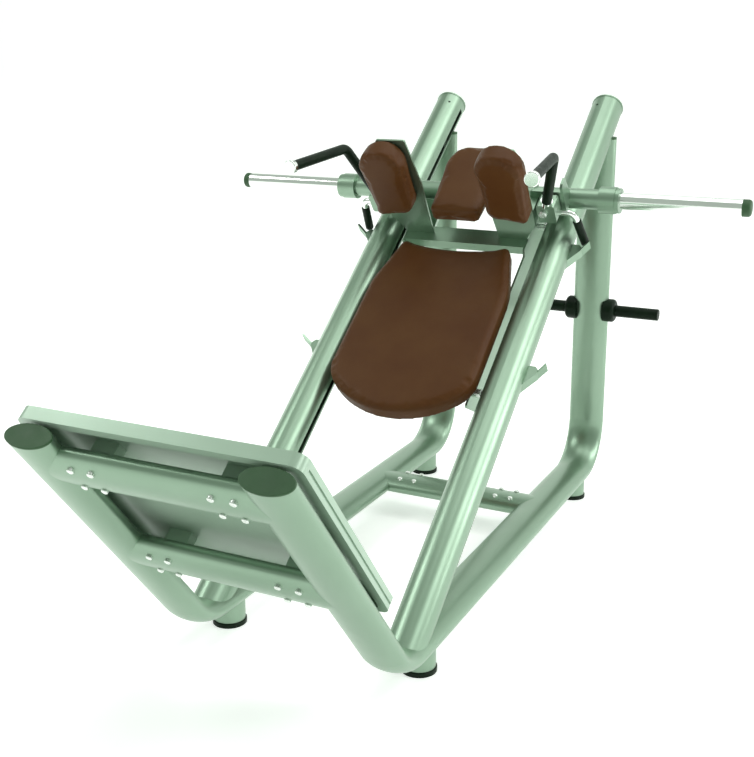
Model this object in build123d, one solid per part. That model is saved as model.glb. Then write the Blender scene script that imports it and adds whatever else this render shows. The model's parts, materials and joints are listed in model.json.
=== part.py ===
"""Plate-loaded hack squat / leg press machine: two bent oval side frames, two round slotted
guide rails, a fixed foot plate and a padded carriage that rides on rollers inside the rails.

Millimetres, +Z up, the user pushes towards -Y, the rails rise towards +Y.
The origin is the middle of the machine's footprint, on the floor.
"""
import math
import os

from build123d import *

# ---------------------------------------------------------------- driving dimensions (mm)
SHIFT_Y = 185.27               # moves the whole machine so that its footprint is centred
SIDE_X = 280.4                 # side frame and rail centre planes, left and right

TUBE_WIDTH = 120.0             # oval frame tube, across the machine
TUBE_DEPTH = 60.0              # oval frame tube, in the side plane
TUBE_WALL = 3.0
BASE_Z = 91.3                  # base run centre height
FRONT_Y = -753.5               # corner of the riser and the base run
REAR_Y = 857.3                 # corner of the base run and the upright
RISER_LENGTH = 830.0
RISER_ANGLE = 50.83            # degrees from the floor, leaning forward over the front
UPRIGHT_LEAN = 2.41            # degrees, leaning towards the front
UPRIGHT_TOP_Z = 1216.0
BEND_RADIUS = 150.0

RAIL_ANGLE = 37.75             # degrees from the floor
RAIL_FOOT_Y = -797.65          # where the rail axis meets the floor
RAIL_R = 50.0
RAIL_BORE_R = 45.0
RAIL_END = 2143.5
SLOT_WIDTH = 18.0
SLOT_FROM, SLOT_TO = 330.0, 2110.0

MEMBER_WIDTH, MEMBER_DEPTH, MEMBER_WALL = 120.0, 58.0, 3.0
RISER_MEMBERS = (738.0, 371.0)  # along the riser from its corner
REAR_MEMBER_Y = 340.0
BOLT_X = (194.0, 143.0)
BOLT_ROW = 31.0

PLATE_HALF, PLATE_FROM, PLATE_TO = 337.0, 237.0, 840.0
PLATE_BACK, PLATE_FACE = 35.0, 66.0     # above the riser's centre line

FOOT_Y = (-591.5, 708.1)
FOOT_R, RUBBER_R, RUBBER_H = 43.0, 46.3, 13.0

BAR_S, BAR_N, BAR_R = 1615.0, 97.0, 30.35
COLLAR_FROM, COLLAR_STEP, COLLAR_TO = 404.0, 452.0, 464.5
COLLAR_R, COLLAR_STEP_R = 40.0, 37.0
SLEEVE_R, SPIGOT_R, SLEEVE_TO, SLEEVE_CAP_TO = 25.0, 23.5, 812.5, 837.0

PEG_Z, PEG_R, PEG_FLANGE_R, PEG_FLANGE, PEG_REACH = 643.0, 19.5, 39.0, 25.0, 171.0

SIDE_PLATE_X, SIDE_PLATE = 197.0, 6.0
ROLLER_S = (930.0, 1585.0)
ROLLER_R, ROLLER_WIDTH, AXLE_R = 44.5, 24.0, 8.0
TRAVEL_DOWN, TRAVEL_UP = 472.0, 300.0

LATCH_S = 1535.0               # the locking rods, where they rest in the upper hooks
HOOK_SPACING = 472.0
PIVOT_X, PIVOT_N, PIVOT_R = 266.0, 141.0, 8.0
RUNNING = 0.05                 # radial running clearance

# ---------------------------------------------------------------- shared directions and planes
X = Vector(1, 0, 0)
RISER_DIR = Vector(0, -math.cos(math.radians(RISER_ANGLE)), math.sin(math.radians(RISER_ANGLE)))
RISER_NORMAL = Vector(0, math.sin(math.radians(RISER_ANGLE)), math.cos(math.radians(RISER_ANGLE)))
RAIL_DIR = Vector(0, math.cos(math.radians(RAIL_ANGLE)), math.sin(math.radians(RAIL_ANGLE)))
RAIL_NORMAL = Vector(0, -math.sin(math.radians(RAIL_ANGLE)), math.cos(math.radians(RAIL_ANGLE)))
UPRIGHT_DIR = Vector(0, -math.sin(math.radians(UPRIGHT_LEAN)), math.cos(math.radians(UPRIGHT_LEAN)))


def rail_point(x, s, n):
    """A point given across the machine, along the rails and above the rail axes."""
    return Vector(x, SHIFT_Y + RAIL_FOOT_Y, 0) + RAIL_DIR * s + RAIL_NORMAL * n


def riser_point(x, t, m):
    """A point given across the machine, up the risers and above them on the user's side."""
    return Vector(x, SHIFT_Y + FRONT_Y, BASE_Z) + RISER_DIR * t + RISER_NORMAL * m


def facing_down(s):
    """Plane square to the rails: local x across, local y above the rails, normal down the rails."""
    return Plane(origin=rail_point(0, s, 0), x_dir=X, z_dir=-RAIL_DIR)


def above_rails(n):
    """Plane along the rails: local x across, local y up the rails, normal above them."""
    return Plane(origin=rail_point(0, 0, n), x_dir=X, z_dir=RAIL_NORMAL)


def beside(x):
    """Plane of a side plate: local x up the rails, local y above the rails, normal outward."""
    return Plane(origin=rail_point(x, 0, 0), x_dir=RAIL_DIR, z_dir=X)


def on_riser(m):
    """Plane along the risers, normal to the user's side, local y up the risers."""
    return Plane(origin=riser_point(0, 0, m), x_dir=-X, z_dir=RISER_NORMAL)


def slab(plane, x0, x1, y0, y1, thick):
    """Rectangular block on a plane."""
    face = plane * (Pos((x0 + x1) / 2, (y0 + y1) / 2) * Rectangle(x1 - x0, y1 - y0))
    return extrude(face, amount=thick)


def outline(plane, points, thick, rounds=None):
    """Plate from a closed outline on a plane; rounds gives a corner radius for each point."""
    face = make_face(Polyline(*[(a, b) for a, b in points], close=True))
    for (a, b), radius in zip(points, rounds or []):
        if radius:
            corner = face.vertices().sort_by_distance(Vector(a, b, 0))[0]
            face = fillet(corner, radius)
    return extrude(plane * face, amount=thick)


def rod(start, end, radius, bore=0.0):
    """Round bar or tube between two points."""
    along = (end - start).normalized()
    plane = Plane(origin=start, z_dir=along)
    face = Circle(radius) - Circle(bore) if bore else Circle(radius)
    return extrude(plane * face, amount=(end - start).length)


def strip_points(points, thick):
    """Outline of a bent flat strip of even thickness along a line of points."""
    lines = [Vector(*q, 0) for q in points]
    sides = []
    for sign in (1, -1):
        row = []
        for i, q in enumerate(lines):
            before = (q - lines[i - 1]).normalized() if i else (lines[1] - q).normalized()
            after = (lines[i + 1] - q).normalized() if i + 1 < len(lines) else before
            mean = (before + after).normalized()
            side = Vector(-mean.Y, mean.X, 0)
            grow = thick / 2 / max(0.2, mean.dot(after))
            row.append(q + side * grow * sign)
        sides.append(row)
    loop = sides[0] + sides[1][::-1]
    return [(q.X, q.Y) for q in loop]


def bent_bar(corners, bend_radius, section, flat=None):
    """Straight runs and round bends of one section through the corners of a centre line."""
    flat = flat or (corners[1] - corners[0]).cross(corners[2] - corners[1]).normalized()
    start, pieces = corners[0], []
    for i in range(1, len(corners)):
        here = (corners[i] - start).normalized()
        if i + 1 < len(corners):
            after = (corners[i + 1] - corners[i]).normalized()
            turn = here.get_angle(after)
            back = bend_radius * math.tan(math.radians(turn / 2))
        else:
            back = 0.0
        end = corners[i] - here * back
        plane = Plane(origin=start, x_dir=flat, z_dir=here)
        pieces.append(extrude(plane * section, amount=(end - start).length))
        if back:
            hinge = here.cross(after).normalized()
            centre = end + hinge.cross(here) * bend_radius
            plane = Plane(origin=end, x_dir=flat, z_dir=here)
            pieces.append(revolve(plane * section, axis=Axis(centre, hinge), revolution_arc=turn))
            start = corners[i] + after * back
    return pieces[0].fuse(*pieces[1:])


def one(shape):
    """The largest solid of a shape."""
    return shape.solids().sort_by(SortBy.VOLUME)[-1]


def both(right):
    """The right-hand piece and its mirror image, as (left, right)."""
    return mirror(right, about=Plane.YZ), right


# ---------------------------------------------------------------- nodes
nodes = {}


def pair(name, right):
    """Stores a left and a right node."""
    nodes[name + "_left"], nodes[name + "_right"] = both(right)


# side frames: riser, base run and upright bent from one oval tube
upright_length = (UPRIGHT_TOP_Z - BASE_Z) / UPRIGHT_DIR.Z
side_corners = [
    riser_point(SIDE_X, RISER_LENGTH, 0),
    Vector(SIDE_X, SHIFT_Y + FRONT_Y, BASE_Z),
    Vector(SIDE_X, SHIFT_Y + REAR_Y, BASE_Z),
    Vector(SIDE_X, SHIFT_Y + REAR_Y, BASE_Z) + UPRIGHT_DIR * upright_length,
]
oval = Ellipse(TUBE_WIDTH / 2, TUBE_DEPTH / 2)
oval_ring = oval - Ellipse(TUBE_WIDTH / 2 - TUBE_WALL, TUBE_DEPTH / 2 - TUBE_WALL)
side_solid = one(bent_bar(side_corners, BEND_RADIUS, oval))
rail_solid = rod(rail_point(SIDE_X, 40, 0), rail_point(SIDE_X, RAIL_END, 0), RAIL_R)
pair("side_frame", one(bent_bar(side_corners, BEND_RADIUS, oval_ring) - rail_solid
                       .intersect(Pos(SIDE_X, SHIFT_Y + REAR_Y, 1200) * Box(200, 500, 900))))

# end caps of the risers and of the uprights
riser_top = Plane(origin=side_corners[0], x_dir=X, z_dir=RISER_DIR)
riser_cap = extrude(riser_top * oval, amount=5)
riser_cap = chamfer(riser_cap.faces().sort_by(Axis(side_corners[0], RISER_DIR))[-1].edges(), 1.5)
upright_top = Plane(origin=side_corners[3], x_dir=X, z_dir=UPRIGHT_DIR)
upright_cap = extrude(upright_top * oval, amount=7) - rail_solid
left_caps, right_caps = both(upright_cap)
nodes["frame_tube_caps"] = Compound(children=list(both(riser_cap)) + list(left_caps.solids())
                                    + list(right_caps.solids()))

# guide rails: round tubes with a slot along the inner side, coped onto the base runs
rail = rod(rail_point(SIDE_X, 40, 0), rail_point(SIDE_X, RAIL_END, 0), RAIL_R, RAIL_BORE_R)
rail = one(rail - side_solid.intersect(Pos(SIDE_X, SHIFT_Y + FRONT_Y, 0) * Box(300, 900, 700)))
slot = slab(beside(SIDE_X - RAIL_R - 5), SLOT_FROM, SLOT_TO, -SLOT_WIDTH / 2, SLOT_WIDTH / 2, 22)
screw_hole = rod(rail_point(SIDE_X - 18, 2103, 35), rail_point(SIDE_X - 18, 2103, 60), 4.0)
pair("guide_rail", rail - slot - screw_hole)
rail_cap = (rod(rail_point(SIDE_X, RAIL_END, 0), rail_point(SIDE_X, RAIL_END + 5, 0), RAIL_R + 1.5)
            + rod(rail_point(SIDE_X, RAIL_END - 14, 0), rail_point(SIDE_X, RAIL_END, 0), RAIL_BORE_R - 0.1))
nodes["rail_caps"] = Compound(children=list(both(one(rail_cap))))

# rubber stops inside the rails, below and above the rollers' travel
stops = []
for low, high in ((ROLLER_S[0] - TRAVEL_DOWN - ROLLER_R - 32, ROLLER_S[0] - TRAVEL_DOWN - ROLLER_R - 2),
                  (ROLLER_S[1] + TRAVEL_UP + ROLLER_R + 2, ROLLER_S[1] + TRAVEL_UP + ROLLER_R + 32)):
    stops.append(rod(rail_point(SIDE_X, low, 0), rail_point(SIDE_X, high, 0), RAIL_BORE_R - 0.1))
nodes["rail_stops"] = Compound(children=[piece for stop in stops for piece in both(stop)])

# oval cross members with saddle-shaped ends
member_oval = Ellipse(MEMBER_WIDTH / 2, MEMBER_DEPTH / 2)
member_ring = member_oval - Ellipse(MEMBER_WIDTH / 2 - MEMBER_WALL, MEMBER_DEPTH / 2 - MEMBER_WALL)
side_left, side_right = both(side_solid)
bolts = []
spots = [("upper", riser_point(0, RISER_MEMBERS[0], 0), RISER_DIR),
         ("lower", riser_point(0, RISER_MEMBERS[1], 0), RISER_DIR),
         ("rear", Vector(0, SHIFT_Y + REAR_MEMBER_Y, BASE_Z), Vector(0, -1, 0))]
for name, middle, flat in spots:
    plane = Plane(origin=middle - X * SIDE_X, x_dir=flat, z_dir=X)
    tube = extrude(plane * member_ring, amount=2 * SIDE_X)
    nodes[name + "_cross_member"] = one(tube - side_left - side_right)
    member_solid = extrude(plane * member_oval, amount=2 * SIDE_X)
    down = X.cross(flat) if name != "rear" else Vector(0, 0, 1)
    for bolt_x in BOLT_X:
        for side in (-1, 1):
            for row in (-BOLT_ROW, BOLT_ROW):
                base = middle + X * (bolt_x * side) + flat * row + down * 21
                head = Plane(origin=base, x_dir=X, z_dir=down) * Cylinder(
                    8, 10, align=(Align.CENTER, Align.CENTER, Align.MIN))
                top = head.faces().sort_by(Axis(base, down))[-1]
                bolts.append(one(fillet(top.edges(), 3.0) - member_solid))
nodes["cross_member_bolts"] = Compound(children=bolts)

# foot plate: folded tray with a grooved rim, standing on the two riser members
width, depth = 2 * PLATE_HALF, PLATE_TO - PLATE_FROM
mid = (PLATE_TO + PLATE_FROM) / 2
tray = extrude(on_riser(PLATE_BACK) * (Pos(0, mid) * RectangleRounded(width, depth, 26)),
               amount=PLATE_FACE - PLATE_BACK)
pocket = extrude(on_riser(PLATE_BACK + 3) * (Pos(0, mid) * RectangleRounded(width - 16, depth - 16, 18)),
                 amount=PLATE_FACE - PLATE_BACK - 3 - 5)
mouth = extrude(on_riser(PLATE_BACK) * (Pos(0, mid) * RectangleRounded(width - 44, depth - 44, 8)), amount=4)
groove = (extrude(on_riser(PLATE_BACK + 11) * (Pos(0, mid) * Rectangle(width + 40, depth + 40)), amount=6)
          - extrude(on_riser(PLATE_BACK + 11) * (Pos(0, mid) * RectangleRounded(width - 7, depth - 7, 23)),
                    amount=6))
rim_top = extrude(on_riser(PLATE_BACK) * (Pos(0, PLATE_TO - 2) * Rectangle(width + 60, 60)), amount=60)
plate = tray - pocket - mouth - (groove - rim_top)
heel = rod(riser_point(-PLATE_HALF + 14, PLATE_FROM + 11, PLATE_FACE - 2),
           riser_point(PLATE_HALF - 14, PLATE_FROM + 11, PLATE_FACE - 2), 11)
plate = plate + (heel - pocket)
for t in RISER_MEMBERS:
    for x in (-190, 130):
        post = slab(on_riser(20), x, x + 60, t - 15, t + 15, PLATE_FACE - 20 - 3)
        member = Plane(origin=riser_point(-SIDE_X, t, 0), x_dir=RISER_DIR, z_dir=X) * member_oval
        plate = plate + one(post - extrude(member, amount=2 * SIDE_X))
nodes["foot_plate"] = one(plate)

# floor feet: metal cups under the base runs with rubber pads
cups, rubbers = [], []
for y in FOOT_Y:
    base = Vector(SIDE_X, SHIFT_Y + y, RUBBER_H)
    cup = rod(base, base + Vector(0, 0, 70), FOOT_R) - side_solid
    cups += list(both(cup.solids().sort_by(Axis.Z)[0]))
    rubber = rod(base - Vector(0, 0, RUBBER_H), base, RUBBER_R)
    rubbers += list(both(chamfer(rubber.faces().sort_by(Axis.Z)[-1].edges(), 2.0)))
nodes["foot_cups"] = Compound(children=cups)
nodes["foot_rubbers"] = Compound(children=rubbers)

# locking hooks on the outer sides of the rails
for name, latch in (("upper", LATCH_S), ("lower", LATCH_S - HOOK_SPACING)):
    base, bend, tip = (318, latch - 97), (360, latch - 35), (386.5, latch - 21)
    bar = outline(above_rails(-27), strip_points((base, bend, tip), 7), 54)
    rise = outline(facing_down(latch + 40), [(300, -27), (360, -27), (396, 4), (396, 27), (388, 27),
                                             (360, 1), (300, 1)], 180)
    bar = bar & rise
    web = outline(above_rails(-8), [(318, latch - 92), (356, latch - 38), (364, latch - 32),
                                    (352, latch - 17), (318, latch - 15.5)], 8)
    pair(name + "_hook", one(bar + web - rail_solid))

# plate storage pegs through the uprights, inside and outside
peg_y = SHIFT_Y + REAR_Y - (PEG_Z - BASE_Z) * math.tan(math.radians(UPRIGHT_LEAN))
pegs = []
for out in (1, -1):
    root = Vector(SIDE_X + out * 45, peg_y, PEG_Z)
    flange_at = SIDE_X + out * (TUBE_WIDTH / 2 + PEG_FLANGE)
    flange = rod(root, Vector(flange_at, peg_y, PEG_Z), PEG_FLANGE_R)
    flange = fillet(flange.faces().sort_by(Axis.X)[-1 if out > 0 else 0].edges(), 12)
    peg = rod(root, Vector(SIDE_X + out * (TUBE_WIDTH / 2 + PEG_REACH), peg_y, PEG_Z), PEG_R)
    peg = fillet(peg.faces().sort_by(Axis.X)[-1 if out > 0 else 0].edges(), 3)
    pegs.append(one(flange + peg - side_solid))
pair("storage_peg", Compound(children=pegs))

# ---------------------------------------------------------------- carriage
side_plate = outline(beside(SIDE_PLATE_X), [(868, 12), (1442, 12), (1452, 33), (1562, 33), (1578, 66),
                                            (1578, 132), (1652, 132), (1652, 40), (1622, -95), (926, -95)],
                     SIDE_PLATE, [8, 0, 0, 0, 0, 12, 12, 20, 20, 12])
bar_hole = rod(rail_point(150, BAR_S, BAR_N), rail_point(250, BAR_S, BAR_N), BAR_R + 0.02)
side_plate = side_plate - bar_hole
for s in ROLLER_S:
    side_plate = side_plate - rod(rail_point(150, s, 0), rail_point(250, s, 0), AXLE_R)
pair("carriage_side_plate", one(side_plate))

axles, inner_x = [], SIDE_PLATE_X
for s in ROLLER_S:
    shank = rod(rail_point(inner_x - 8, s, 0), rail_point(SIDE_X + 16, s, 0), AXLE_R)
    head = rod(rail_point(inner_x - 8, s, 0), rail_point(inner_x, s, 0), 11)
    spacer = rod(rail_point(inner_x + SIDE_PLATE, s, 0), rail_point(SIDE_X - RAIL_R - 5, s, 0), 12)
    axles.append(one(shank + head + spacer))
pair("roller_axles", Compound(children=axles))
for name, s in (("lower_roller", ROLLER_S[0]), ("upper_roller", ROLLER_S[1])):
    centre = rail_point(SIDE_X, s, 0)
    half, hub_r = ROLLER_WIDTH / 2, AXLE_R + RUNNING
    crown = math.sqrt(ROLLER_R ** 2 - half ** 2)
    rim = make_face([piece.edge() for piece in (
        Line((-half, hub_r), (half, hub_r)), Line((half, hub_r), (half, crown)),
        ThreePointArc((half, crown), (0, ROLLER_R), (-half, crown)), Line((-half, crown), (-half, hub_r)))])
    wheel = revolve(Plane(origin=centre, x_dir=X, z_dir=RAIL_NORMAL) * rim, axis=Axis(centre, X))
    pair(name, one(wheel))

inner = SIDE_PLATE_X - 0.1


def box_tube(s0, s1, n0, n1, wall):
    """Rectangular tube across the carriage between the side plates."""
    outer = slab(beside(-inner), s0, s1, n0, n1, 2 * inner)
    hollow = slab(beside(-inner), s0 + wall, s1 - wall, n0 + wall, n1 - wall, 2 * inner)
    return outer - hollow


nodes["upper_crossbar"] = one(box_tube(1460, 1520, 3, 33, 3))
nodes["lower_crossbar"] = one(box_tube(960, 1010, -38, -8, 3))

# leaning gussets between the upper crossbar and the weight bar
foot = rail_point(0, 1521, -4)
lean = (rail_point(0, 1588, 92) - foot).normalized()
gusset_plane = Plane(origin=foot, x_dir=X, z_dir=X.cross(lean))
gusset = outline(gusset_plane, [(128, 0), (inner, 0), (inner, 112), (84, 112)], 6)
edge = outline(gusset_plane, [(128, 0), (134, 0), (90, 112), (84, 112)], 20)
bar_solid = rod(rail_point(-COLLAR_TO, BAR_S, BAR_N), rail_point(COLLAR_TO, BAR_S, BAR_N), BAR_R)
crossbar_solid = slab(beside(-inner), 1460, 1520, 3, 33, 2 * inner)
pair("carriage_gusset", one(gusset + edge - bar_solid - crossbar_solid))

# weight bar with stepped collars, chrome sleeves and end caps
bar = rod(rail_point(-COLLAR_FROM, BAR_S, BAR_N), rail_point(COLLAR_FROM, BAR_S, BAR_N), BAR_R, BAR_R - 4)
for side in (-1, 1):
    for x0, x1, radius in ((COLLAR_FROM, COLLAR_STEP, COLLAR_R), (COLLAR_STEP, COLLAR_TO, COLLAR_STEP_R)):
        bar = bar + rod(rail_point(side * x0, BAR_S, BAR_N), rail_point(side * x1, BAR_S, BAR_N),
                        radius, SPIGOT_R + 0.02)
nodes["weight_bar"] = one(bar)
sleeve = rod(rail_point(COLLAR_TO, BAR_S, BAR_N), rail_point(SLEEVE_TO, BAR_S, BAR_N), SLEEVE_R, 20.0)
spigot = rod(rail_point(COLLAR_FROM, BAR_S, BAR_N), rail_point(COLLAR_TO, BAR_S, BAR_N), SPIGOT_R, 20.0)
pair("weight_sleeve", one(sleeve + spigot))
cap = rod(rail_point(SLEEVE_TO, BAR_S, BAR_N), rail_point(SLEEVE_CAP_TO, BAR_S, BAR_N), SLEEVE_R - 0.4)
cap = fillet(cap.faces().sort_by(Axis.X)[-1].edges(), 9)
cap = cap + rod(rail_point(SLEEVE_TO - 25, BAR_S, BAR_N), rail_point(SLEEVE_TO, BAR_S, BAR_N), 19.95)
pair("sleeve_cap", one(cap))

# pads and the boards and plates behind them
BACK_SEAT, BACK_THIGH, BACK_HIP = (50.3, 776), (144.7, 810.4), (231, 884)
BACK_WAIST, BACK_NECK, BACK_BROW_DIP = (228, 1250), (180, 1425), 1399.0
BACK_MIDDLE = 1100.0


def back_outline(inset):
    """Closed outline of the back pad, shrunk about its middle by an inset; the top edge is hollowed."""
    share = 1 - inset / BACK_HIP[0]
    right = [(x * share, BACK_MIDDLE + (y - BACK_MIDDLE) * share)
             for x, y in (BACK_SEAT, BACK_THIGH, BACK_HIP, BACK_WAIST, BACK_NECK)]
    face = make_face(Polyline(*right, *[(-x, y) for x, y in right[::-1]], close=True))
    for (x, y), radius in zip(right, (265, 265, 115, 300)):
        for side in (1, -1):
            corner = face.vertices().sort_by_distance(Vector(side * x, y, 0))[0]
            face = fillet(corner, radius * share)
    neck_x, neck_y = right[-1]
    dip = BACK_MIDDLE + (BACK_BROW_DIP - BACK_MIDDLE) * share
    brow_r = (neck_x ** 2 + (neck_y - dip) ** 2) / (2 * (neck_y - dip))
    face = face - Pos(0, dip + brow_r) * Circle(brow_r)
    for side in (1, -1):
        corner = face.vertices().sort_by_distance(Vector(side * neck_x, neck_y, 0))[0]
        face = fillet(corner, 24 * share)
    return face


def softened(solid, plane_dir, radius):
    """Rounds the long edges of a pad's front face."""
    front = solid.faces().sort_by(Axis(Vector(0, 0, 0), plane_dir))[-1]
    return fillet(front.edges(), radius)


back_pad = extrude(above_rails(25.0) * back_outline(0), amount=55)
nodes["back_pad"] = softened(back_pad, RAIL_NORMAL, 9)
nodes["back_pad_board"] = extrude(above_rails(12.2) * back_outline(20), amount=12.3)

head_face = make_face([piece.edge() for piece in (
    Line((-81, 1448), (81, 1448)), Line((81, 1448), (98, 1670)),
    ThreePointArc((98, 1670), (0, 1745), (-98, 1670)), Line((-98, 1670), (-81, 1448)))])
for a in (-81, 81):
    head_face = fillet(head_face.vertices().sort_by_distance(Vector(a, 1448, 0))[0], 22)
nodes["head_pad"] = softened(extrude(above_rails(131.2) * head_face, amount=48.8), RAIL_NORMAL, 8)
head_plate = slab(above_rails(110), -55, 55, 1575, 1690, 20.8) - bar_solid
head_plate = head_plate.intersect(slab(above_rails(110), -55, 55, 1575, 1690, 20.8)
                                  - slab(above_rails(110), -70, 70, 1640, 1700, 15.8)
                                  - slab(above_rails(110), -70, 70, 1560, 1590, 15.8))
nodes["head_pad_plate"] = one(head_plate)

shoulder_points = [(245, 152), (117, 172), (108, 415), (262, 418)]
shoulder_pad = outline(facing_down(1492.3), shoulder_points, 64.3, [20, 38, 64, 78])
pair("shoulder_pad", softened(shoulder_pad, -RAIL_DIR, 7))
pad_plate = outline(facing_down(1499), [(109, 33.1), (196.9, 33.1), (236, 96), (236, 355), (200, 409),
                                        (109, 409), (97.5, 239)], 6, [0, 0, 8, 8, 8, 4, 0])
pair("shoulder_pad_plate", one(pad_plate))
right_plate = outline(facing_down(1499), [(109, 33.1), (196.9, 33.1), (236, 96), (240, 345), (222, 388),
                                          (160, 396), (116, 350), (97.5, 239)], 6)
nodes["shoulder_pad_plate_right"] = one(right_plate)

# lever brackets: an arm from the pad plate, a back plate and a lug standing on the weight bar
arm = slab(facing_down(1556), 205, 236, 100, 150, 57)
back = outline(facing_down(1564), [(203.3, 92), (316, 92), (316, 176), (215, 176)], 8, [0, 6, 8, 8])
lug = outline(beside(308), [(1556, 96), (1556, 192), (1566, 200), (1592, 200), (1612, 120), (1612, 96)], 8)
tie = slab(facing_down(1612), 215, 262, 92, 136, 50)
hub_bolt = rod(rail_point(PIVOT_X, 1491, PIVOT_N), rail_point(PIVOT_X, 1500.6, PIVOT_N), 12)
bracket = arm + back + lug + tie - bar_solid
pin = rod(rail_point(PIVOT_X, 1495, PIVOT_N), rail_point(PIVOT_X, 1575, PIVOT_N), PIVOT_R)
bracket = bracket - rod(rail_point(PIVOT_X, 1480, PIVOT_N), rail_point(PIVOT_X, 1620, PIVOT_N), PIVOT_R)
nut = rod(rail_point(PIVOT_X, 1564, PIVOT_N), rail_point(PIVOT_X, 1573, PIVOT_N), 12)
pair("lever_bracket", one(bracket - nut))
hub_bolt = fillet(hub_bolt.faces().sort_by(Axis(Vector(0, 0, 0), -RAIL_DIR))[-1].edges(), 3)
pair("lever_pin", one(hub_bolt + pin + nut))

# ---------------------------------------------------------------- locking levers
hub = slab(facing_down(1551), 247, 302, 103, 170, 50)
hub = fillet(hub.edges().filter_by(Axis(Vector(0, 0, 0), RAIL_DIR)), 7)
hub = hub - rod(rail_point(PIVOT_X, 1480, PIVOT_N), rail_point(PIVOT_X, 1570, PIVOT_N), PIVOT_R + RUNNING)
pair("lever_hub", one(hub))

rod_points = [rail_point(302, LATCH_S, 115), rail_point(346.5, LATCH_S, 115),
              rail_point(363.6, LATCH_S, -6.5)]
pair("lever_rod", one(bent_bar(rod_points, 24, Circle(9.5))))
latch_tip = rail_point(364.5, LATCH_S, -13)
latch_dir = (rod_points[2] - rod_points[1]).normalized()
roll = rod(latch_tip - latch_dir * 97, latch_tip, 13)
roll = fillet(roll.faces().sort_by(Axis(Vector(0, 0, 0), latch_dir))[-1].edges(), 8)
roll = roll - rod(rod_points[1], rod_points[2] + latch_dir * 0.5, 9.52)
pair("lever_roll", one(roll))

grip_points = [rail_point(275, 1516, 166), rail_point(328, 1514, 352), rail_point(359.5, 1272, 495)]
first = (grip_points[1] - grip_points[0]).normalized()
last = (grip_points[2] - grip_points[1]).normalized()
core = bent_bar(grip_points, 32, Circle(11))
ring = rod(grip_points[0] - first * 4, grip_points[0] + first * 14, 18)
knob = rod(grip_points[2] - last * 11, grip_points[2] + last * 3, 20.8)
knob = fillet(knob.faces().sort_by(Axis(Vector(0, 0, 0), last))[-1].edges(), 3)
hub_block = slab(facing_down(1553), 240, 306, 90, 170, 54)
pair("lever_handle", one(core + ring + knob - hub_block))
cover = [grip_points[0] + first * 14.3, grip_points[1], grip_points[2] - last * 11.3]
pair("lever_grip", one(bent_bar(cover, 32, Circle(15) - Circle(11.02))))

# ---------------------------------------------------------------- export
os.makedirs("parts", exist_ok=True)
for name, shape in nodes.items():
    shape.label = name
    export_step(shape, "parts/" + name + ".step")
everything = Compound(children=[s for node in nodes.values() for s in node.solids()])
box = everything.bounding_box()
print(len(nodes), "nodes; box", [round(v, 2) for v in (*box.min, *box.max)])
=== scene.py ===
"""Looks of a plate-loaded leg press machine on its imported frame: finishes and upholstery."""

import json
import logging
import math
from dataclasses import dataclass, field
from enum import Enum

import bmesh
import bpy
import numpy as np
from mathutils import Matrix, Vector


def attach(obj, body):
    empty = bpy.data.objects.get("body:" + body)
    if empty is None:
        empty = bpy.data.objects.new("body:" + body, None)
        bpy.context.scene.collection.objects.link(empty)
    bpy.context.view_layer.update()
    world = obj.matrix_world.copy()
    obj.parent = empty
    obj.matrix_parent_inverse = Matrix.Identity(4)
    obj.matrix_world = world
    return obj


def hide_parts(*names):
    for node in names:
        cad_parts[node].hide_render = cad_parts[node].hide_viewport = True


LOG = logging.getLogger("leg_press")
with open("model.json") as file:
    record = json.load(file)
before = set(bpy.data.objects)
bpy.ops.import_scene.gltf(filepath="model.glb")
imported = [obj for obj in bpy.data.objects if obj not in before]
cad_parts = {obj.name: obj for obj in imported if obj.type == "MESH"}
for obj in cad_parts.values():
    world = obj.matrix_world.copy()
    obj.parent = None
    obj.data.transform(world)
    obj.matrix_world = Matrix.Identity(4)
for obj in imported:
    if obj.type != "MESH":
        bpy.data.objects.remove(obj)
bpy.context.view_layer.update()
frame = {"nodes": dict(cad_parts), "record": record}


class Grain(Enum):
    """Named surface reliefs of the finishes."""

    PAINT = "orange peel of sprayed metallic paint"
    CASTING = "fine pebble of moulded rubber"
    LEATHERETTE = "creased pebble of upholstery vinyl"
    TURNED = "fine rings of a turned and plated bar"
    BOARD = "long fibre of plywood"
    TREAD = "raised studs of a non-slip sheet"


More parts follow.
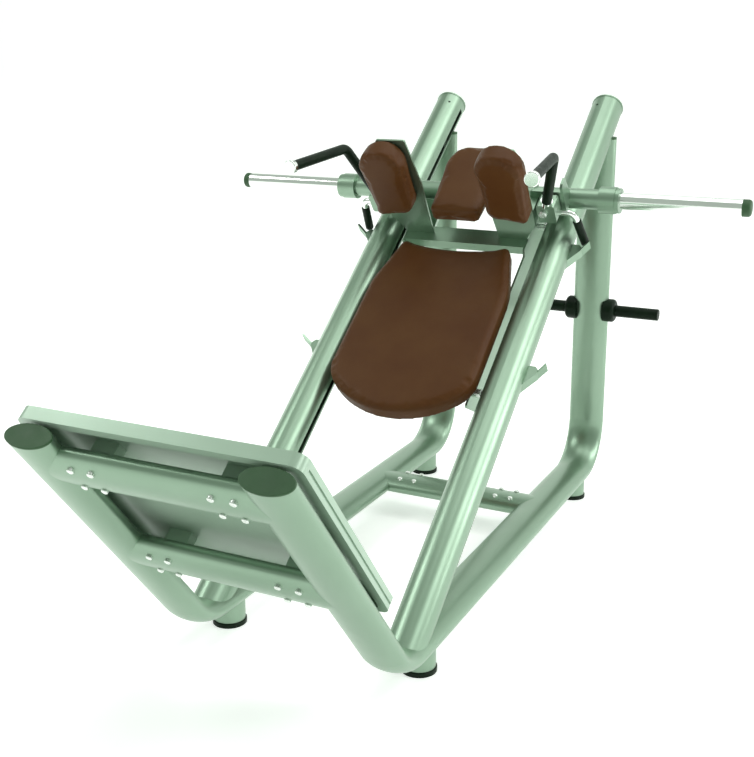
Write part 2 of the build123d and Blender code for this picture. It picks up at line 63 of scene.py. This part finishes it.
@dataclass(frozen=True)
class Finish:
    """One procedural finish.

    Attributes:
        name: material name.
        colour: main linear colour.
        shade: second linear colour that the mottling mixes in.
        grain: which relief the surface has.
        metallic: share of metal in the shader.
        roughness: middle roughness.
        swing: how far the roughness wanders each way.
        relief: bump height in metres.
        scale: size of the relief, in cells per metre.
        mottle: cells per metre of the colour mottling.
        coat: clear coat weight.
        sheen: cloth sheen weight.
    """

    name: str
    colour: tuple[float, float, float]
    shade: tuple[float, float, float]
    grain: Grain
    metallic: float = 0.0
    roughness: float = 0.4
    swing: float = 0.05
    relief: float = 0.0002
    scale: float = 900.0
    mottle: float = 6.0
    coat: float = 0.0
    sheen: float = 0.0
    shine: float = 0.5

    def material(self) -> bpy.types.Material:
        """Returns the finish as a node material, made once.

        Returns:
            The material with colour mottling, roughness wander and relief from object coordinates.
        """
        title = "finish_" + self.name
        known = bpy.data.materials.get(title)
        if known:
            return known
        mat = bpy.data.materials.new(title)
        mat.use_nodes = True
        tree = mat.node_tree
        tree.nodes.clear()
        new, link = tree.nodes.new, tree.links.new
        out, shader = new("ShaderNodeOutputMaterial"), new("ShaderNodeBsdfPrincipled")
        link(shader.outputs[0], out.inputs["Surface"])
        shader.inputs["Metallic"].default_value = self.metallic
        shader.inputs["Coat Weight"].default_value = self.coat
        shader.inputs["Coat Roughness"].default_value = 0.12
        shader.inputs["Sheen Weight"].default_value = self.sheen
        shader.inputs["Specular IOR Level"].default_value = self.shine
        place = new("ShaderNodeTexCoord").outputs["Object"]
        cloud = new("ShaderNodeTexNoise")
        cloud.inputs["Scale"].default_value = self.mottle
        cloud.inputs["Detail"].default_value = 5.0
        link(place, cloud.inputs["Vector"])
        mix = new("ShaderNodeMix")
        mix.data_type = "RGBA"
        mix.inputs["A"].default_value = (*self.colour, 1)
        mix.inputs["B"].default_value = (*self.shade, 1)
        spread = new("ShaderNodeMapRange")
        spread.inputs["From Min"].default_value, spread.inputs["From Max"].default_value = 0.35, 0.7
        link(cloud.outputs["Fac"], spread.inputs["Value"])
        link(spread.outputs["Result"], mix.inputs["Factor"])
        link(mix.outputs["Result"], shader.inputs["Base Color"])
        smudge = new("ShaderNodeTexNoise")
        smudge.inputs["Scale"].default_value = self.mottle * 4.3
        smudge.inputs["Detail"].default_value = 4.0
        link(place, smudge.inputs["Vector"])
        rough = new("ShaderNodeMapRange")
        rough.inputs["From Min"].default_value, rough.inputs["From Max"].default_value = 0.3, 0.7
        rough.inputs["To Min"].default_value = self.roughness - self.swing
        rough.inputs["To Max"].default_value = self.roughness + self.swing
        link(smudge.outputs["Fac"], rough.inputs["Value"])
        link(rough.outputs["Result"], shader.inputs["Roughness"])
        bump = new("ShaderNodeBump")
        bump.inputs["Distance"].default_value = self.relief
        bump.inputs["Strength"].default_value = 1.0
        link(self._height(tree, place), bump.inputs["Height"])
        link(bump.outputs["Normal"], shader.inputs["Normal"])
        return mat

    def _height(self, tree: bpy.types.NodeTree, place: bpy.types.NodeSocket) -> bpy.types.NodeSocket:
        """Adds the relief's height pattern.

        Args:
            tree: node tree of the material.
            place: socket that gives object coordinates.

        Returns:
            The socket that gives the height.
        """
        new, link = tree.nodes.new, tree.links.new
        if self.grain is Grain.LEATHERETTE:
            cells, wrinkle, total = (new("ShaderNodeTexVoronoi"), new("ShaderNodeTexNoise"),
                                     new("ShaderNodeMath"))
            cells.inputs["Scale"].default_value = self.scale
            wrinkle.inputs["Scale"].default_value = self.scale * 0.18
            wrinkle.inputs["Detail"].default_value = 6.0
            total.operation = "ADD"
            for cell in (cells, wrinkle):
                link(place, cell.inputs["Vector"])
            link(cells.outputs["Distance"], total.inputs[0])
            link(wrinkle.outputs["Fac"], total.inputs[1])
            return total.outputs[0]
        if self.grain in (Grain.TURNED, Grain.BOARD):
            stretch, streak = new("ShaderNodeMapping"), new("ShaderNodeTexNoise")
            long_way = (1.0, 0.04, 0.04) if self.grain is Grain.TURNED else (0.08, 1.0, 1.0)
            stretch.inputs["Scale"].default_value = long_way
            streak.inputs["Scale"].default_value = self.scale
            streak.inputs["Detail"].default_value = 3.0
            link(place, stretch.inputs["Vector"])
            link(stretch.outputs["Vector"], streak.inputs["Vector"])
            return streak.outputs["Fac"]
        pebble = new("ShaderNodeTexNoise")
        pebble.inputs["Scale"].default_value = self.scale
        pebble.inputs["Detail"].default_value = 2.0 if self.grain is Grain.PAINT else 5.0
        link(place, pebble.inputs["Vector"])
        return pebble.outputs["Fac"]


FRAME_PAINT = Finish("frame_paint", (0.285, 0.400, 0.300), (0.262, 0.375, 0.277), Grain.PAINT, metallic=0.88,
                     roughness=0.36, swing=0.02, relief=0.00002, scale=700, mottle=3.0, coat=0.1)
# Lighter, less metallic copy of the frame paint: the extra lightness is painted light, standing in for the
# lamps lighting the foot plate's top rim and back.
PLATE_PAINT_LIT = Finish("foot_plate_paint_lit", (0.40, 0.53, 0.42), (0.36, 0.49, 0.38), Grain.PAINT, metallic=0.3,
                     roughness=0.34, swing=0.03, relief=0.00003, scale=700, mottle=3.0, coat=0.2)
CAP_PLASTIC = Finish("cap_plastic", (0.028, 0.088, 0.030), (0.023, 0.074, 0.025), Grain.CASTING,
                     roughness=0.55, relief=0.00008, scale=1500, mottle=12)
BLACK_RUBBER = Finish("black_rubber", (0.006, 0.016, 0.007), (0.004, 0.010, 0.005), Grain.CASTING,
                      roughness=0.42, swing=0.06, relief=0.0001, scale=1300, mottle=18, shine=0.12)
CHROME = Finish("chrome", (0.92, 0.95, 0.92), (0.89, 0.92, 0.89), Grain.TURNED, metallic=1.0,
                roughness=0.12, swing=0.03, relief=0.00001, scale=900, mottle=8)
ZINC = Finish("bright_zinc", (0.84, 0.88, 0.84), (0.74, 0.78, 0.74), Grain.TURNED, metallic=0.88,
              roughness=0.28, swing=0.06, relief=0.00002, scale=900, mottle=40)
HIDE = Finish("brown_upholstery", (0.092, 0.035, 0.0085), (0.080, 0.027, 0.006), Grain.LEATHERETTE,
              roughness=0.44, swing=0.05, relief=0.00018, scale=520, mottle=9, shine=0.16)
PLYWOOD = Finish("board", (0.20, 0.125, 0.06), (0.15, 0.09, 0.045), Grain.BOARD,
                 roughness=0.7, relief=0.0002, scale=220, mottle=14)
NYLON = Finish("roller_nylon", (0.03, 0.035, 0.03), (0.02, 0.025, 0.02), Grain.CASTING,
               roughness=0.4, relief=0.00005, scale=900, mottle=15)
FINISHES = {"frame_paint": FRAME_PAINT, "plate_paint": PLATE_PAINT_LIT, "cap_plastic": CAP_PLASTIC,
            "black_rubber": BLACK_RUBBER, "chrome": CHROME, "zinc_steel": ZINC, "upholstery": HIDE,
            "board": PLYWOOD, "roller_nylon": NYLON}


@dataclass
class RailAxes:
    """Directions and origin of the guide rails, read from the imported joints.

    Attributes:
        along: unit vector up the rails.
        above: unit vector square to them, on the padded side.
        foot: point on the centre plane where the rail axes meet the floor.
    """

    along: np.ndarray = field(init=False)
    above: np.ndarray = field(init=False)
    foot: np.ndarray = field(init=False)

    def __post_init__(self) -> None:
        """Reads the carriage's slide and a roller's axle from the record."""
        joints = {j["name"]: j for j in frame["record"]["behaviour"]["joints"]}
        self.along = np.array(joints["carriage_slide"]["axis"], float)
        self.along /= np.linalg.norm(self.along)
        self.above = np.cross((1.0, 0.0, 0.0), self.along)
        axle = np.array(joints["lower_roller_right_spin"]["pos_m"], float)
        axle[0] = 0.0
        self.foot = axle - self.along * (axle[2] / self.along[2])

    def place(self, x: np.ndarray, s: np.ndarray, n: np.ndarray) -> np.ndarray:
        """Turns rail coordinates into row coordinates.

        Args:
            x: distance across the machine.
            s: distance up the rails.
            n: distance above the rail axes.

        Returns:
            Points, with the last axis x, y, z.
        """
        x, s, n = np.broadcast_arrays(x, s, n)
        flat = np.stack([x, np.zeros_like(x), np.zeros_like(x)], -1)
        return self.foot + flat + s[..., None] * self.along + n[..., None] * self.above


def closed_rings(rows: int, cols: int) -> list[tuple[int, ...]]:
    """Faces of rings that close round, with both end rings closed by a pole vertex.

    Args:
        rows: number of rings.
        cols: points in each ring.

    Returns:
        Quads between rings and triangles to the two poles, whose indexes follow the rings.
    """
    r, c = np.meshgrid(np.arange(rows - 1), np.arange(cols), indexing="ij")
    nxt = (c + 1) % cols
    quads = np.stack([r * cols + c, r * cols + nxt, (r + 1) * cols + nxt, (r + 1) * cols + c], -1)
    k = np.arange(cols)
    first, last = rows * cols, rows * cols + 1
    start = np.stack([np.full(cols, first), (k + 1) % cols, k], -1)
    end = np.stack([np.full(cols, last), (rows - 1) * cols + k, (rows - 1) * cols + (k + 1) % cols], -1)
    return [tuple(map(int, f)) for f in (*quads.reshape(-1, 4), *start, *end)]


def mesh_object(name: str, points: np.ndarray, faces: list[tuple[int, ...]], finish: Finish,
                smooth: bool = True) -> bpy.types.Object:
    """Makes a piece from points and faces, with its normals pointing out.

    Args:
        name: piece name.
        points: array of points, three to a row.
        faces: vertex indexes of each face.
        finish: finish of the whole piece.
        smooth: shade it smooth.

    Returns:
        The linked object at the origin.
    """
    mesh = bpy.data.meshes.new(name)
    mesh.from_pydata(np.asarray(points, float).reshape(-1, 3).tolist(), [], faces)
    tool = bmesh.new()
    tool.from_mesh(mesh)
    bmesh.ops.remove_doubles(tool, verts=tool.verts, dist=1e-6)
    bmesh.ops.recalc_face_normals(tool, faces=tool.faces)
    tool.to_mesh(mesh)
    tool.free()
    mesh.polygons.foreach_set("use_smooth", np.full(len(mesh.polygons), smooth))
    mesh.materials.append(finish.material())
    piece = bpy.data.objects.new(name, mesh)
    bpy.context.scene.collection.objects.link(piece)
    return piece


def rounded_outline(corners: list[tuple[float, float]], radii: list[float], count: int) -> np.ndarray:
    """Outline of a polygon whose corners are arcs tangent to both sides, evenly spaced.

    Args:
        corners: corner points in order.
        radii: corner radius of each.
        count: number of points returned.

    Returns:
        Array of count points, the arcs and runs resampled by their length.
    """
    pts = np.array(corners, float)
    line: list[np.ndarray] = []
    for i, radius in enumerate(radii):
        a = pts[i - 1] - pts[i]
        b = pts[(i + 1) % len(pts)] - pts[i]
        a, b = a / np.linalg.norm(a), b / np.linalg.norm(b)
        half = math.acos(float(np.clip(a @ b, -1, 1))) / 2
        back = radius / math.tan(half)
        start, end = pts[i] + a * back, pts[i] + b * back
        centre = pts[i] + (a + b) / np.linalg.norm(a + b) * (radius / math.sin(half))
        t = np.linspace(0, 1, 24)[:, None]
        arc = (start - centre) * (1 - t) + (end - centre) * t
        line.append(centre + arc / np.linalg.norm(arc, axis=1)[:, None] * radius)
    path = np.concatenate(line)
    path = np.vstack([path, path[:1]])
    run = np.concatenate([[0.0], np.cumsum(np.linalg.norm(np.diff(path, axis=0), axis=1))])
    at = np.linspace(0, run[-1], count, endpoint=False)
    return np.stack([np.interp(at, run, path[:, 0]), np.interp(at, run, path[:, 1])], -1)


@dataclass
class PaddedBoard:
    """An upholstered pad: a crowned face, rolled edges and a flat back.

    Attributes:
        name: piece name, also the CAD node it stands for.
        corners: outline corners across and along its face, in metres.
        radii: corner radii.
        back: level of the flat back.
        thick: thickness at the edges.
        edge: radius of the rolled front edge.
        crown: extra height in the middle.
        facing: True when it faces down the rails, False when it faces away from them.
        fill: how full the pad is.
        rise: most that the inflated cover may move.
    """

    name: str
    corners: list[tuple[float, float]]
    radii: list[float]
    back: float
    thick: float
    edge: float = 0.010
    crown: float = 0.002
    facing: bool = False
    fill: float = 0.9
    rise: float = 0.005
    shrink: float = 0.003
    dip: float = 0.0

    def surface(self, axes: RailAxes, cols: int = 220) -> tuple[np.ndarray, list[tuple[int, ...]]]:
        """Closed skin: rings of the outline drawn in and raised by a quarter-round edge and a low crown.

        Each ring is the outline moved inward by a distance, then shrunk towards the middle, at the
        height of the back, the wall, the quarter circle of the edge or the crowned face in turn.

        Args:
            axes: rail axes that place it.
            cols: points round the outline.

        Returns:
            Points and faces.
        """
        base = rounded_outline(self.corners, self.radii, cols)
        if self.dip:
            top = base[:, 1] > base[:, 1].max() - 0.004
            wide = np.abs(base[:, 0]).max() * 0.72
            base[:, 1] -= np.where(top, self.dip * np.clip(1 - (base[:, 0] / wide) ** 2, 0, 1), 0)
        step = np.roll(base, -1, 0) - np.roll(base, 1, 0)
        normal = np.stack([step[:, 1], -step[:, 0]], -1) / np.linalg.norm(step, axis=1)[:, None]
        middle = base.mean(0)
        if ((base - middle) * normal).sum() < 0:
            normal = -normal
        wall = np.linspace(0, 1, 7)
        turn = np.linspace(0, np.pi / 2, 9)
        face = np.linspace(0, 0.97, 16)[1:]
        rim = self.thick - self.edge
        inset = np.concatenate([[0.004, 0.0015], 0.0 * wall, self.edge * (1 - np.cos(turn))]) + self.shrink
        height = np.concatenate([[0.0, 0.0005], 0.003 + (rim - 0.003) * wall, rim + self.edge * np.sin(turn)])
        rings = base[None] - normal[None] * inset[:, None, None]
        last = rings[-1]
        inner = last[None] + (middle - last)[None] * face[:, None, None]
        lift = self.thick + self.crown * (1 - (1 - face) ** 2)
        back = rings[0][None] + (middle - rings[0])[None] * face[::-1, None, None]
        plan = np.concatenate([back, rings, inner])
        level = np.concatenate([np.zeros(len(face)), height, lift])[:, None] * np.ones(cols)
        poles = np.array([[*middle, 0.0], [*middle, self.thick + self.crown]])
        flat = np.concatenate([np.concatenate([plan, level[..., None]], -1).reshape(-1, 3), poles])
        return self.to_row(axes, flat), closed_rings(len(plan), cols)

    def to_row(self, axes: RailAxes, flat: np.ndarray) -> np.ndarray:
        """Places points given across, along and above the pad's own face."""
        if self.facing:
            return axes.place(flat[:, 0], self.back - flat[:, 2], flat[:, 1])
        return axes.place(flat[:, 0], flat[:, 1], self.back + flat[:, 2])

    def build(self, axes: RailAxes) -> bpy.types.Object:
        """Args:
            axes: rail axes that place it.

        Returns:
            The finished pad.
        """
        points, faces = self.surface(axes)
        pad = mesh_object(self.name + "_cover", points, faces, HIDE)
        self.inflate(pad, axes)
        pad.data.polygons.foreach_set("use_smooth", np.full(len(pad.data.polygons), True))
        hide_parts(self.name)
        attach(pad, "carriage")
        return pad

    def inflate(self, pad: bpy.types.Object, axes: RailAxes) -> None:
        """Swells the cover as cloth under pressure, capped, with the back kept flat.

        Args:
            pad: the pad to swell.
            axes: rail axes, for the flat back.
        """
        scene = bpy.context.scene
        bpy.context.view_layer.objects.active = pad
        voxel = pad.modifiers.new("even", "REMESH")
        voxel.mode, voxel.voxel_size = "VOXEL", 0.005
        self._apply(pad)
        rest = self._points(pad)
        cloth = pad.modifiers.new("cover", "CLOTH")
        cloth.settings.use_pressure = True
        cloth.settings.uniform_pressure_force = 4.0
        cloth.settings.effector_weights.gravity = 0.0
        cloth.settings.quality = 5
        cloth.point_cache.frame_start, cloth.point_cache.frame_end = 1, 20
        for number in range(1, 21):
            scene.frame_set(number)
        self._apply(pad)
        scene.frame_set(1)
        move = self._points(pad) - rest
        size = np.linalg.norm(move, axis=1, keepdims=True)
        moved = rest + move * np.minimum(1.0, self.rise / np.maximum(size, 1e-9))
        way = -axes.along if self.facing else axes.above
        level = (moved - axes.foot) @ way - ((-self.back) if self.facing else self.back)
        moved += np.maximum(0.0, -level)[:, None] * way
        pad.data.vertices.foreach_set("co", moved.ravel())
        pad.data.update()
        smooth = pad.modifiers.new("soften", "SUBSURF")
        smooth.levels = smooth.render_levels = 1

    @staticmethod
    def _points(pad: bpy.types.Object) -> np.ndarray:
        """Vertex places of a mesh object as an array."""
        points = np.empty(len(pad.data.vertices) * 3)
        pad.data.vertices.foreach_get("co", points)
        return points.reshape(-1, 3)

    @staticmethod
    def _apply(pad: bpy.types.Object) -> None:
        """Replaces the mesh by its evaluated self and drops the modifiers."""
        graph = bpy.context.evaluated_depsgraph_get()
        made = bpy.data.meshes.new_from_object(pad.evaluated_get(graph), depsgraph=graph)
        pad.modifiers.clear()
        pad.data = made


@dataclass
class Upholstery:
    """The four pads of the carriage.

    Attributes:
        axes: rail axes that place them.
    """

    axes: RailAxes

    def pads(self) -> list[PaddedBoard]:
        """Sizes of the back pad, the head pad and both shoulder pads."""
        right = [(0.0503, 0.776), (0.1447, 0.8104), (0.231, 0.884), (0.228, 1.250), (0.180, 1.425)]
        back = right + [(-x, s) for x, s in right[::-1]]
        back_r = [0.265, 0.265, 0.115, 0.30, 0.026]
        shoulder = [(0.245, 0.152), (0.117, 0.172), (0.108, 0.415), (0.262, 0.418)]
        made = [PaddedBoard("back_pad", back, back_r + back_r[::-1], 0.025, 0.050, edge=0.012, crown=0.005,
                            rise=0.005, dip=0.024),
                PaddedBoard("head_pad", [(0.081, 1.448), (0.098, 1.670), (0.074, 1.747), (-0.074, 1.747),
                                         (-0.098, 1.670), (-0.081, 1.448)],
                            [0.022, 0.15, 0.062, 0.062, 0.15, 0.022], 0.1312, 0.0455, edge=0.010, rise=0.004)]
        for side in (-1, 1):
            name = "shoulder_pad_left" if side < 0 else "shoulder_pad_right"
            made.append(PaddedBoard(name, [(side * x, n) for x, n in shoulder], [0.020, 0.038, 0.064, 0.078],
                                    1.4923, 0.061, edge=0.008, facing=True, rise=0.004))
        return made

    def build(self) -> None:
        """Builds every pad."""
        for pad in self.pads():
            made = pad.build(self.axes)
            LOG.info("pad %s: %d faces", pad.name, len(made.data.polygons))


@dataclass
class Machine:
    """The carried-over metal, rubber and plastic parts.

    Attributes:
        edges: width of the eased edges, in metres; not used.
    """

    edges: float = 0.0012

    def dress(self) -> None:
        """Gives every CAD node the finish of its material slot."""
        slots = {s["node"]: s["material_slot"] for s in frame["record"]["subparts"]}
        for name, piece in frame["nodes"].items():
            piece.data.materials.clear()
            piece.data.materials.append(FINISHES[slots[name]].material())
            LOG.info("finish %s on %s", slots[name], name)


@dataclass
class Studio:
    """Floor, lights and camera.

    Attributes:
        eye: camera position in metres.
        yaw: turn of the view to the left, in degrees.
        pitch: tilt of the view, in degrees.
        roll: roll of the camera, in degrees.
        lens: focal length in millimetres on a 36 mm sensor.
    """

    eye: tuple[float, float, float] = (1.2947, -2.7102, 1.4682)
    yaw: float = 26.18
    pitch: float = -15.85
    roll: float = 0.153
    lens: float = 53.616

    def camera(self) -> None:
        """Adds the camera and makes it the scene's."""
        data = bpy.data.cameras.new("camera")
        data.lens, data.sensor_width, data.sensor_fit = self.lens, 36.0, "AUTO"
        data.clip_end = 200
        cam = bpy.data.objects.new("camera", data)
        bpy.context.scene.collection.objects.link(cam)
        turn = (Matrix.Rotation(math.radians(self.yaw), 4, "Z")
                @ Matrix.Rotation(math.radians(90 + self.pitch), 4, "X")
                @ Matrix.Rotation(math.radians(self.roll), 4, "Z"))
        cam.matrix_world = Matrix.Translation(self.eye) @ turn
        bpy.context.scene.camera = cam

    def lights(self) -> None:
        """Adds a wide soft key from above, two soft boxes and a dim green-grey surround."""
        data = bpy.data.lights.new("key", "SUN")
        data.energy, data.angle = 0.75, math.radians(25)
        key = bpy.data.objects.new("key", data)
        key.rotation_euler = Vector((0.66, 0.12, 0.74)).to_track_quat("Z", "Y").to_euler()
        bpy.context.scene.collection.objects.link(key)
        for name, place, size, power, aim in (
                ("top", (0.4, 0.6, 4.8), 3.4, 60, (0.1, 0, 0.7)),
                ("right", (4.2, 1.6, 1.9), 1.6, 45, (0, 0, 0.7)),
                ("upper_left", (-3.0, -0.9, 3.6), 1.4, 36, (0, -0.4, 0.7)),
                ("left_back", (-4.4, 3.0, 1.4), 1.6, 10, (0, 0, 0.7))):
            data = bpy.data.lights.new(name, "AREA")
            data.shape, data.size, data.energy = "SQUARE", size, power
            lamp = bpy.data.objects.new(name, data)
            lamp.location = place
            lamp.rotation_euler = (Vector(aim) - Vector(place)).to_track_quat("-Z", "Y").to_euler()
            bpy.context.scene.collection.objects.link(lamp)
        world = bpy.data.worlds.new("studio")
        bpy.context.scene.world = world
        world.use_nodes = True
        sky = world.node_tree.nodes["Background"]
        sky.inputs["Color"].default_value = (0.42, 0.48, 0.425, 1)
        sky.inputs["Strength"].default_value = 1.0
        bpy.context.scene.view_settings.view_transform = "Standard"

    def floor(self) -> None:
        """Adds the pale floor, which curves up far behind the machine.

        The sheet runs level, then follows a quarter circle up into a wall: a profile of length along
        the floor carried across its width.
        """
        turn = np.linspace(0, np.pi / 2, 13)
        run = np.concatenate([[-30.0], 9 + 4 * np.sin(turn), [13.0]])
        rise = np.concatenate([[0.0], 4 - 4 * np.cos(turn), [14.0]])
        across = np.array([-40.0, 40.0])
        grid = np.stack(np.broadcast_arrays(across[None], run[:, None], rise[:, None]), -1).reshape(-1, 3)
        k = np.arange(len(run) - 1) * 2
        pale = Finish("pale_floor", (0.93, 0.94, 0.93), (0.92, 0.93, 0.92), Grain.PAINT, roughness=0.9,
                      relief=0.00001)
        sheet = mesh_object("floor", grid, [(int(i), int(i + 1), int(i + 3), int(i + 2)) for i in k], pale)
        glow = pale.material().node_tree.nodes["Principled BSDF"]
        glow.inputs["Emission Color"].default_value = (1, 1, 1, 1)
        glow.inputs["Emission Strength"].default_value = 0.42

    def build(self) -> None:
        """Adds everything round the machine."""
        self.camera()
        self.lights()
        self.floor()


def main() -> None:
    """Dresses the frame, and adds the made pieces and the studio."""
    logging.basicConfig(level=logging.INFO)
    axes = RailAxes()
    Machine().dress()
    Upholstery(axes).build()
    Studio().build()


if __name__ == "__main__":
    main()
